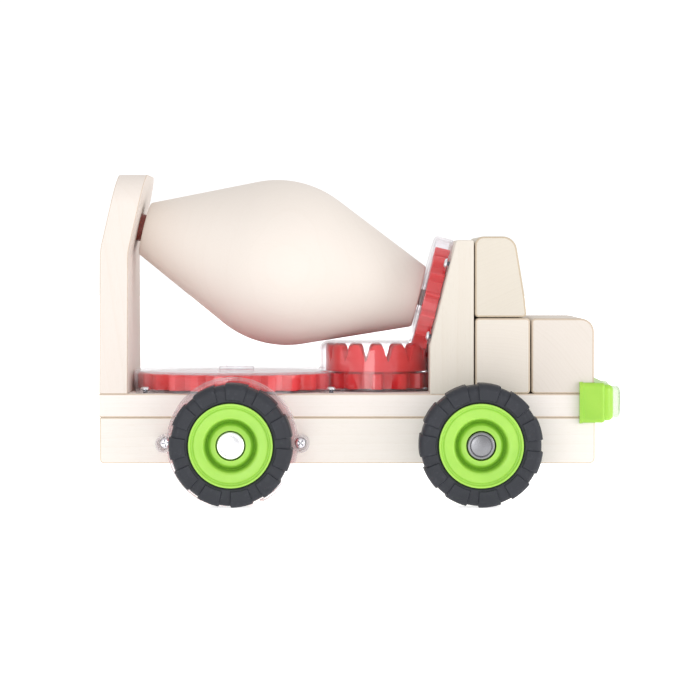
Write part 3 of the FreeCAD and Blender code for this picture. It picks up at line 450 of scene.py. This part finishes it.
def revolve(name, prof, place, mats, segs=128, sharp=32.0, closed=True):
    """prof: (r, h) points in mm; place: matrix from the revolve's own frame (metres, axis +Z)."""
    verts, rings = [], []
    for r, h in prof:
        if r < 1e-4:
            rings.append([len(verts)])
            verts.append(place @ Vector((0, 0, h * MM)))
        else:
            rings.append(list(range(len(verts), len(verts) + segs)))
            for k in range(segs):
                a = 2 * math.pi * k / segs
                verts.append(place @ Vector((r * MM * math.cos(a), r * MM * math.sin(a), h * MM)))
    faces = []
    n = len(prof)
    for i in range(n if closed else n - 1):
        a, b = rings[i], rings[(i + 1) % n]
        if len(a) == 1 and len(b) == 1:
            continue
        for k in range(segs):
            l = (k + 1) % segs
            if len(a) == 1:
                faces.append((a[0], b[l], b[k]))
            elif len(b) == 1:
                faces.append((a[k], a[l], b[0]))
            else:
                faces.append((a[k], a[l], b[l], b[k]))
    return make(name, verts, faces, mats, sharp)


def prism(name, outline, to3, lo, hi, mats, sharp=32.0):
    """Outline (a, b) in mm extruded from lo to hi; to3(a, b, c) gives the point in mm."""
    n = len(outline)
    verts = [Vector(to3(a, b, lo)) * MM for a, b in outline] + [Vector(to3(a, b, hi)) * MM for a, b in outline]
    faces = [tuple(range(n))[::-1], tuple(range(n, 2 * n))] + [(i, (i + 1) % n, n + (i + 1) % n, n + i) for i in range(n)]
    return make(name, verts, faces, mats, sharp)


XZ = lambda a, b, c: (a, c, b)
XY = lambda a, b, c: (a, b, c)


def wheel_frame(x, side):
    """Axis +Z outwards along side * Y, through the axle; own +X along the truck's +X."""
    az = centre("rear_axle").z
    rot = Matrix(((1, 0, 0), (0, 0, side), (0, -side, 0))).to_4x4()
    return Matrix.Translation((x, 0, az)) @ rot


def mm_box(node):
    lo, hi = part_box(node)
    return [c / MM for c in lo], [c / MM for c in hi]


# ------------------------------------------------------------------ wooden parts
def block(node, outline, ease, key, to3=XZ, axis=1, inset=0.0):
    body, edge = wood_pair(key)
    lo, hi = mm_box(node)
    o = prism(node + "_wood", outline, to3, lo[axis] + inset, hi[axis] - inset, [body, edge])
    soften(o, ease * MM, 4, 40.0, 1)
    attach(o, "chassis")
    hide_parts(node)
    return o


def outline_of(node, corners):
    """Rounded rectangle in XZ from the node's box; corners are the radii from the rear bottom one round."""
    lo, hi = mm_box(node)
    return fillet([(lo[0], lo[2], corners[0]), (hi[0], lo[2], corners[1]), (hi[0], hi[2], corners[2]), (lo[0], hi[2], corners[3])])


lo, hi = mm_box("deck_board")
deck = block("deck_board", fillet([(lo[0], lo[1], 3), (hi[0], lo[1], 3), (hi[0], hi[1], 3), (lo[0], hi[1], 3)]), 1.0, "deck", XY, 2)
beam = block("chassis_beam", outline_of("chassis_beam", (3, 4, 0, 0)), 1.0, "beam")
lower = block("cab_lower_block", outline_of("cab_lower_block", (2.8, 2.8, 2.8, 2.8)), 1.3, "lower")
hood = block("hood_block", outline_of("hood_block", (2.8, 2.8, 9.8, 2.8)), 1.3, "hood")
lo, hi = mm_box("cab_upper_block")
x0, x1, z0, z1 = lo[0], hi[0], lo[2], hi[2]
upper = block("cab_upper_block", fillet([(x0, z0, 2.8), (x1, z0, 2.8), (x1 - 1.5, z0 + 14.6, 60), (x1 - 6.2, z0 + 43.1, 14),
                                         (x1 - 8.8, z1, 10.5), (x0, z1, 6.5)], 10), 1.3, "upper")

# rear post: an outline in YZ, cut into strips and bent back near its foot
lo, hi = mm_box("rear_post")
px0, pz0, pz1 = lo[0], lo[2], hi[2]
BEND, SLANT, THICK = 184.0, math.tan(math.radians(12.5)), 20.5


def post_x(z, front):
    bend, r = (BEND - 1, 30.0) if front else (BEND, 50.0)
    half = r * math.tan(math.radians(12.5) / 2)
    base = px0 + (THICK if front else 0.0)
    if z <= bend - half:
        return base
    s = z - (bend - half)
    reach = r * math.sin(math.radians(12.5))
    if s < reach:
        return base + r - math.sqrt(r * r - s * s)
    return base + (z - bend) * SLANT


ring2d = fillet([(lo[1], pz0, 0), (hi[1], pz0, 0), (hi[1] - 13, pz1, 24), (lo[1] + 13, pz1, 24)], 14)
bm = bmesh.new()
face = bm.faces.new([bm.verts.new((0, a * MM, b * MM)) for a, b in ring2d])
z = pz0 + 6
while z < pz1 - 1:
    geom = bm.verts[:] + bm.edges[:] + bm.faces[:]
    bmesh.ops.bisect_plane(bm, geom=geom, plane_co=(0, 0, z * MM), plane_no=(0, 0, 1))
    z += 3.0 if 170 < z < 215 else 8.0
bmesh.ops.remove_doubles(bm, verts=bm.verts[:], dist=1e-6)
back = bm.faces[:]
ret = bmesh.ops.extrude_face_region(bm, geom=back)
front_v = {v for v in ret["geom"] if isinstance(v, bmesh.types.BMVert)}
for v in bm.verts:
    v.co.x = post_x(v.co.z / MM, v in front_v) * MM
bmesh.ops.recalc_face_normals(bm, faces=bm.faces)
me = bpy.data.meshes.new("rear_post_wood")
bm.to_mesh(me)
bm.free()
post_body, post_edge = wood_pair("post")
me.materials.append(post_body)
me.materials.append(post_edge)
me.shade_smooth()
me.set_sharp_from_angle(angle=math.radians(32))
post = bpy.data.objects.new("rear_post_wood", me)
bpy.context.scene.collection.objects.link(post)
soften(post, 3.0 * MM, 5, 50.0, 1)
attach(post, "chassis")
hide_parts("rear_post")

# the cab's rear wall keeps its CAD shape, with the round pockets in it
NODES["cab_rear_wall"].data.materials[0] = wood("wood_wall", **W["wall"])

# ----------------------------------------------------------------------- drum
jd = JOINTS["drum_spin"]
d_axis, d_pos = Vector(jd["axis"]).normalized(), Vector(jd["pos_m"])
d_up = Vector((0, 1, 0)).cross(d_axis).normalized()
if d_up.z < 0:
    d_up = -d_up
d_side = d_axis.cross(d_up)
DRUM = Matrix(((d_up.x, d_side.x, d_axis.x, d_pos.x), (d_up.y, d_side.y, d_axis.y, d_pos.y), (d_up.z, d_side.z, d_axis.z, d_pos.z), (0, 0, 0, 1)))
U0, U1, R0, R1, S0, S1, BELLY = -104.2, 107.6, 19.7, 23.1, 0.470, 0.427, 76.0
ta, tb = math.atan(S0), math.atan(S1)
apex_u = (R1 + S1 * U1 - R0 + S0 * U0) / (S0 + S1)
apex_r = R0 + S0 * (apex_u - U0)
half = (math.pi - ta - tb) / 2
t = BELLY / math.tan(half)
pa = (apex_r - t * math.sin(ta), apex_u - t * math.cos(ta))
pb = (apex_r - t * math.sin(tb), apex_u + t * math.cos(tb))
nx, nu = math.cos((ta - tb) / 2), -math.sin((ta - tb) / 2)
dist = BELLY / math.sin(half)
cr, cu = apex_r - dist * nx, apex_u - dist * nu
pm = (cr + BELLY * nx, cu + BELLY * nu)
e, f = 1.6, 1.2
prof = [(5.06, U0), (R0 - f, U0)] + arc3((R0 - f, U0), (R0 - 0.2, U0 + 0.25 * f), (R0 + f * S0, U0 + f), 5)
q0 = prof[-1]
for k in range(1, 13):
    prof.append((q0[0] + (pa[0] - q0[0]) * k / 12, q0[1] + (pa[1] - q0[1]) * k / 12))
prof += arc3(pa, pm, pb, 26)
q1 = (R1 + e * S1, U1 - e)
for k in range(1, 13):
    prof.append((pb[0] + (q1[0] - pb[0]) * k / 12, pb[1] + (q1[1] - pb[1]) * k / 12))
prof += arc3(q1, (R1 - 0.25, U1 - 0.25 * e), (R1 - e, U1), 5) + [(6.2, U1), (6.2, 115.6), (5.8, 116.0), (4.06, 116.0), (4.06, 90.0), (0.0, 90.0), (0.0, -77.2), (5.06, -77.2)]
drum = revolve("drum_wood", prof, DRUM, [wood("wood_drum", **W["drum"])], 224)
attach(drum, "drum")
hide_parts("drum")


# ---------------------------------------------------------------------- wheels
HUB_R, LUGS, LUG_DEG = 30.2, 11, 21.6


def tyre_section(lug):
    """Section (r, h) of the tyre, from the outer bead round to the inner one."""
    rt, out, inn = (44.4, 113.0, 83.0) if lug else (43.2, 111.8, 84.2)
    bo, bi = 111.9, 84.1
    p = [(HUB_R, bo - 1.5), (HUB_R + 0.5, bo - 0.6), (HUB_R + 1.5, bo), (HUB_R + 2.3, bo)]
    p += [(HUB_R + 2.6, out - 0.25 if lug else bo), (HUB_R + 3.0, out)]
    p += [(HUB_R + 5.5, out), (rt - 6.0, out)]
    p += arc3((rt - 6.0, out), (rt - 1.4, out - 1.2), (rt, out - 5.0), 9)
    p += [(rt, out - 9.0), (rt, (out + inn) / 2), (rt, inn + 9.0), (rt, inn + 5.0)]
    p += arc3((rt, inn + 5.0), (rt - 1.4, inn + 1.2), (rt - 6.0, inn), 9)
    p += [(HUB_R + 5.5, inn), (HUB_R + 3.0, inn), (HUB_R + 2.6, inn + 0.25 if lug else bi)]
    p += [(HUB_R + 2.3, bi), (HUB_R + 1.5, bi), (HUB_R + 0.5, bi + 0.6), (HUB_R, bi + 1.5)]
    return p


def tyre(name, place, phase):
    hi_s, lo_s = tyre_section(True), tyre_section(False)
    pitch = 360.0 / LUGS
    half = LUG_DEG / 2
    stops = []
    for i in range(LUGS):
        mid = phase + i * pitch
        for d, w in ((-half - 0.50, 0.0), (-half - 0.34, 0.12), (-half, 0.5), (-half + 0.34, 0.88), (-half + 0.52, 1.0)):
            stops.append((mid + d, w))
        k = 10
        for j in range(1, k):
            stops.append((mid - half + LUG_DEG * j / k, 1.0))
        for d, w in ((half - 0.52, 1.0), (half - 0.34, 0.88), (half, 0.5), (half + 0.34, 0.12), (half + 0.50, 0.0)):
            stops.append((mid + d, w))
        gap = pitch - LUG_DEG
        for j in range(1, 6):
            stops.append((mid + half + gap * j / 6, 0.0))
    verts, n, m = [], len(stops), len(hi_s)
    for a, w in stops:
        a = math.radians(a)
        for (r1, h1), (r0, h0) in zip(hi_s, lo_s):
            r, h = r0 + (r1 - r0) * w, h0 + (h1 - h0) * w
            verts.append(place @ Vector((r * MM * math.cos(a), r * MM * math.sin(a), h * MM)))
    faces = []
    for i in range(n):
        for j in range(m):
            k, l = (i + 1) % n, (j + 1) % m
            faces.append((i * m + j, k * m + j, k * m + l, i * m + l))
    return make(name, verts, faces, [RUBBER], 28.0)


def hub_profile():
    face = fillet([(HUB_R, 84.2, 0.5), (HUB_R, 113.25, 0.5), (28.9, 113.25, 0.4), (28.1, 111.2, 0.5), (27.3, 111.0, 0.3), (26.2, 111.9, 0.9),
                   (19.6, 111.5, 2.0), (17.8, 104.8, 1.5), (16.9, 104.8, 1.0), (14.4, 108.9, 1.8), (10.8, 110.2, 0.3),
                   (10.45, 103.0, 0), (3.0, 103.0, 0), (3.0, 79.5, 0), (9.0, 79.5, 0.5), (9.0, 99.0, 1.0), (27.2, 99.0, 1.0), (27.2, 84.2, 0.5)], 6)
    return face


def cap_profile():
    p = [(0.0, 103.2), (9.6, 103.2), (10.0, 103.6), (10.0, 108.9)]
    p += arc3((10.0, 108.9), (9.62, 110.05), (8.9, 110.45), 6)
    p += arc3((8.9, 110.45), (8.2, 110.45), (7.9, 110.15), 4)
    p += [(7.75, 110.1), (7.5, 110.3)]
    big = 52.0
    top = 111.45
    for k in range(0, 9):
        r = 7.2 * (1 - k / 8.0)
        p.append((r if r > 1e-3 else 0.0, top - (big - math.sqrt(big * big - r * r)) - (0.10 if k == 0 else 0.0)))
    return p


for end in ("rear", "front"):
    x = centre(end + "_axle").x
    for side, hand in ((-1, "right"), (1, "left")):
        place = wheel_frame(x, side)
        ty = tyre("tyre_%s_%s_rubber" % (end, hand), place, 180.0 / LUGS + (2.6 if end == "rear" else 0.0))
        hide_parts("tyre_%s_%s" % (end, hand))
        hb = revolve("hub_%s_%s_plastic" % (end, hand), hub_profile(), place, [LIME_HUB], 128, 28.0)
        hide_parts("hub_%s_%s" % (end, hand))
        # front caps use the chrome with the painted darker reflection
        cp = revolve("cap_%s_%s_chrome" % (end, hand), cap_profile(), place, [CHROME if end == "rear" else CHROME_PAINTED_DIM], 96, 28.0)
        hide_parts("axle_cap_%s_%s" % (end, hand))
        for o in (ty, hb, cp):
            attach(o, end + "_wheels")


# ----------------------------------------------------------------------- gears
def spur_outline(n, rp, rt, rr, thick, pa, phase, steps=6):
    rb = rp * math.cos(pa)
    inv = math.tan(pa) - pa
    half = thick / 2 / rp

    def ang(r):
        r = max(r, rb + 1e-6)
        a = math.acos(min(1.0, rb / r))
        return half + inv - (math.tan(a) - a)

    r0 = max(rb + 0.05, rr + 0.05)
    radii = [r0 + (rt - r0) * k / steps for k in range(steps + 1)]
    out = []
    step = 2 * math.pi / n

    def pt(r, a):
        out.append((r * math.cos(a), r * math.sin(a)))

    for i in range(n):
        mid = phase + i * step
        pt(rr, mid - ang(r0) - 0.004)
        for r in radii:
            pt(r, mid - ang(r))
        a1 = ang(rt)
        for k in range(1, 6):
            w = -a1 + 2 * a1 * k / 6
            pt(rt + 0.2 * (1 - (w / a1) ** 2), mid + w)
        for r in reversed(radii):
            pt(r, mid + ang(r))
        pt(rr, mid + ang(r0) + 0.004)
        g0, g1 = mid + ang(r0) + 0.004, mid + step - ang(r0) - 0.004
        for k in range(1, 5):
            w = g0 + (g1 - g0) * k / 5
            pt(rr - 0.3 * (1 - (2 * k / 5 - 1) ** 2), w)
    return out


def gear_disc(name, outline, place, z0, z1, mats, ease=0.5):
    n = len(outline)
    verts = [place @ (Vector((a, b, z0)) * MM) for a, b in outline] + [place @ (Vector((a, b, z1)) * MM) for a, b in outline]
    faces = [tuple(range(n))[::-1], tuple(range(n, 2 * n))] + [(i, (i + 1) % n, n + (i + 1) % n, n + i) for i in range(n)]
    o = make(name, verts, faces, mats, 30.0)
    soften(o, ease * MM, 3, 55.0)
    return o


# main gear: toothed rim, a recessed web and a hub
lo, hi = mm_box("main_gear")
gm = Matrix.Translation((JOINTS["main_gear_spin"]["pos_m"][0], 0, 0))
gz0, gz1 = lo[2], hi[2]
outer = spur_outline(24, 70.2, 74.0, 65.6, 8.7, math.radians(20), math.radians(7.5))
n = len(outer)
inner = [(60 * math.cos(math.atan2(b, a)), 60 * math.sin(math.atan2(b, a))) for a, b in outer]
verts, faces = [], []
levels = [(inner, gz0 + 0.6), (outer, gz0), (outer, gz1), (inner, gz1)]
rings = []
for pts, zz in levels:
    rings.append(list(range(len(verts), len(verts) + n)))
    verts += [gm @ (Vector((a, b, zz if pts is outer else (gz0 if zz < (gz0 + gz1) / 2 else gz1))) * MM) for a, b in pts]
for i in range(4):
    a, b = rings[i], rings[(i + 1) % 4]
    if i == 3:
        continue
    for k in range(n):
        l = (k + 1) % n
        faces.append((a[k], a[l], b[l], b[k]))
prof = [(60.0, gz1), (59.2, gz1 - 2.2), (58.6, gz1 - 2.4), (15.4, gz1 - 2.4), (14.6, gz1 - 2.2), (14.2, gz1), (5.2, gz1),
        (5.2, gz0), (14.2, gz0), (14.6, gz0 + 2.2), (15.4, gz0 + 2.4), (58.6, gz0 + 2.4), (59.2, gz0 + 2.2), (60.0, gz0)]
prev = rings[3]
for r, zz in prof[1:-1]:
    cur = list(range(len(verts), len(verts) + n))
    verts += [gm @ (Vector((r * math.cos(math.atan2(b, a)), r * math.sin(math.atan2(b, a)), zz)) * MM) for a, b in outer]
    for k in range(n):
        l = (k + 1) % n
        faces.append((prev[k], prev[l], cur[l], cur[k]))
    prev = cur
for k in range(n):
    l = (k + 1) % n
    faces.append((prev[k], prev[l], rings[0][l], rings[0][k]))
main = make("main_gear_plastic", verts, faces, [RED], 30.0)
soften(main, 0.45 * MM, 2, 55.0)
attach(main, "main_gear")
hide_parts("main_gear")

# transfer gear: a spur tier below, a ring of pointed-arch teeth above
gt = Matrix.Translation((JOINTS["transfer_gear_spin"]["pos_m"][0], 0, 0))
low = gear_disc("transfer_gear_lower", spur_outline(12, 35.1, 38.9, 30.6, 8.7, math.radians(20), math.pi), gt, 81.3, 92.7, [RED], 0.5)
RO, RI, CZ0, CZV, CZT, CN = 38.2, 31.6, 94.2, 102.0, 114.3, 14


def crown_top(d):
    """Height of the crown's edge at distance d (mm, along the rim) from the middle of a gap."""
    d = abs(d)
    z1 = CZT - 5.2
    g1 = 0.35 + 0.36 * (z1 - CZV)
    if d <= 0.35:
        return CZV
    if d <= g1:
        return CZV + (d - 0.35) / 0.36
    w = min(1.0, (d - g1) / (7.9 - g1))
    return z1 + (CZT - z1) * math.sqrt(max(0.0, 1 - (1 - w) ** 2))


verts, cols = [], []
per = 64
pitch = 2 * math.pi / CN
for i in range(CN):
    for k in range(per):
        w = (k / per - 0.0)
        # samples crowd round the gap's walls
        s = 0.5 * (1 - math.cos(math.pi * min(1, 2 * w))) / 2 if w <= 0.5 else 1 - 0.5 * (1 - math.cos(math.pi * min(1, 2 * (1 - w)))) / 2
        a = (i + s) * pitch
        mid_r = 0.5 * (RO + RI)
        d = min(s, 1 - s) * pitch * RO
        zt = crown_top(d)
        b = 0.9 if zt > CZV + 2 else 0.4
        sec = [(RO, CZ0 + 0.5), (RO, zt - b), (RO - 0.25 * b, zt - 0.35 * b), (RO - b, zt), (RI + b, zt), (RI + 0.25 * b, zt - 0.35 * b), (RI, zt - b), (RI, 100.0)]
        cols.append(list(range(len(verts), len(verts) + len(sec))))
        verts += [gt @ (Vector((r * math.cos(a), r * math.sin(a), zz)) * MM) for r, zz in sec]
faces = []
nc = len(cols)
for i in range(nc):
    a, b = cols[i], cols[(i + 1) % nc]
    for j in range(len(a) - 1):
        faces.append((a[j], b[j], b[j + 1], a[j + 1]))
# inside floor, bore and underside, down over the neck
tail = [(5.2, 100.0), (5.2, 92.4), (30.0, 92.4), (30.0, CZ0), (RO - 0.5, CZ0)]
prev = [c[-1] for c in cols]
for r, zz in tail:
    cur = list(range(len(verts), len(verts) + nc))
    for c in cols:
        p = gt.inverted() @ Vector(verts[c[0]])
        a = math.atan2(p.y, p.x)
        verts.append(gt @ (Vector((r * math.cos(a), r * math.sin(a), zz)) * MM))
    for k in range(nc):
        l = (k + 1) % nc
        faces.append((prev[k], prev[l], cur[l], cur[k]))
    prev = cur
for k in range(nc):
    l = (k + 1) % nc
    faces.append((prev[k], prev[l], cols[l][0], cols[k][0]))
crown = make("transfer_gear_crown", verts, faces, [RED], 35.0)
for o in (low, crown):
    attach(o, "transfer_gear")
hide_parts("transfer_gear")
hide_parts("transfer_gear")

# drum gear
dgear = gear_disc("drum_gear_plastic", spur_outline(15, 36.96, 40.0, 31.4, 3.9, math.radians(18), math.pi), DRUM, 111.0, 122.0, [RED], 0.5)
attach(dgear, "drum")
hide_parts("drum_gear")

# ---------------------------------------------------- carried-over CAD pieces
carried = {
    "axle_crown_gear": RED, "bumper": GREEN, "gearbox_cover": CLEAR, "drum_gear_cover": CLEAR, "side_cover": CLEAR_SIDE,
    "gear_base_plate": CLEAR, "headlight_lenses": LENS, "gearbox_cover_screws": SCREW, "drum_gear_cover_screws": SCREW,
    "side_cover_screws": SCREW, "main_gear_pin": STEEL, "transfer_gear_pin": STEEL, "drum_front_pin": STEEL,
    "rear_axle": STEEL, "front_axle": STEEL, "drum_rear_pin": DARKRED, "axle_bushes": GREY, "front_axle_spacers": GREY,
    "rear_axle_spacer": GREY, "cab_dowels": DOWEL, "post_dowels": DOWEL,
}
for name, mat in carried.items():
    NODES[name].data.materials[0] = mat

# ------------------------------------------------------------ floor, light, camera
bm = bmesh.new()
bmesh.ops.create_grid(bm, x_segments=24, y_segments=24, size=14.0)
for v in bm.verts:
    v.co.y = (v.co.y + 14.0) * 0.5 - 1.6
me = bpy.data.meshes.new("studio_floor")
bm.to_mesh(me)
bm.free()
floor = bpy.data.objects.new("studio_floor", me)
floor.location.z = CAD_LO.z - 0.00005
bpy.context.scene.collection.objects.link(floor)
fm, nt, b = new_material("studio_white")
nt.links.new(blend(nt, noise(nt, object_mm(nt), 0.002, 2.0), (0.93, 0.93, 0.935), (0.92, 0.92, 0.925)), b.inputs["Base Color"])
b.inputs["Roughness"].default_value = 0.35
b.inputs["Specular IOR Level"].default_value = 0.3
b.inputs["Emission Color"].default_value = (1, 1, 1, 1)
looked = nt.nodes.new("ShaderNodeLightPath")
nt.links.new(calc(nt, "ADD", calc(nt, "MULTIPLY", looked.outputs["Is Camera Ray"], 0.10), 0.66), b.inputs["Emission Strength"])
me.materials.append(fm)

world = bpy.data.worlds.new("studio")
bpy.context.scene.world = world
world.use_nodes = True
wt = world.node_tree
sky = wt.nodes["Background"]
sky.inputs["Color"].default_value = (1.0, 1.0, 1.0, 1)
seen = wt.nodes.new("ShaderNodeLightPath")
wt.links.new(calc(wt, "ADD", calc(wt, "MULTIPLY", seen.outputs["Is Camera Ray"], 0.16), 0.93), sky.inputs["Strength"])


def softbox(name, loc, target, w, h, power, colour=(1, 1, 1)):
    l = bpy.data.lights.new(name, "AREA")
    l.shape = "RECTANGLE"
    l.size, l.size_y = w, h
    l.energy = power
    l.color = colour
    o = bpy.data.objects.new(name, l)
    o.location = loc
    o.rotation_mode = "QUATERNION"
    o.rotation_quaternion = (Vector(target) - Vector(loc)).to_track_quat("-Z", "Y")
    bpy.context.scene.collection.objects.link(o)
    return o


softbox("key_left", (-0.64, -2.50, 0.20), (0, 0, 0.1), 0.95, 0.95, 8.0)
softbox("fill_right", (2.0, -1.2, 0.6), (0, 0, 0.1), 1.0, 1.2, 11.0)

cam = bpy.data.cameras.new("camera")
cam.lens = 144.0
cam.sensor_width = 36.0
cam.clip_start, cam.clip_end = 0.05, 60.0
cam_o = bpy.data.objects.new("camera", cam)
mid = (CAD_LO + CAD_HI) / 2
cam_o.location = (mid.x - 0.0077, mid.y - 2.105, CAD_LO.z + 0.1756)
cam_o.rotation_euler = (math.radians(88.2), 0, 0)
bpy.context.scene.collection.objects.link(cam_o)
bpy.context.scene.camera = cam_o

sc = bpy.context.scene
sc.view_settings.view_transform = "Standard"
sc.view_settings.look = "None"
sc.view_settings.exposure = 0.0
sc.view_settings.gamma = 1.0

bpy.context.view_layer.update()
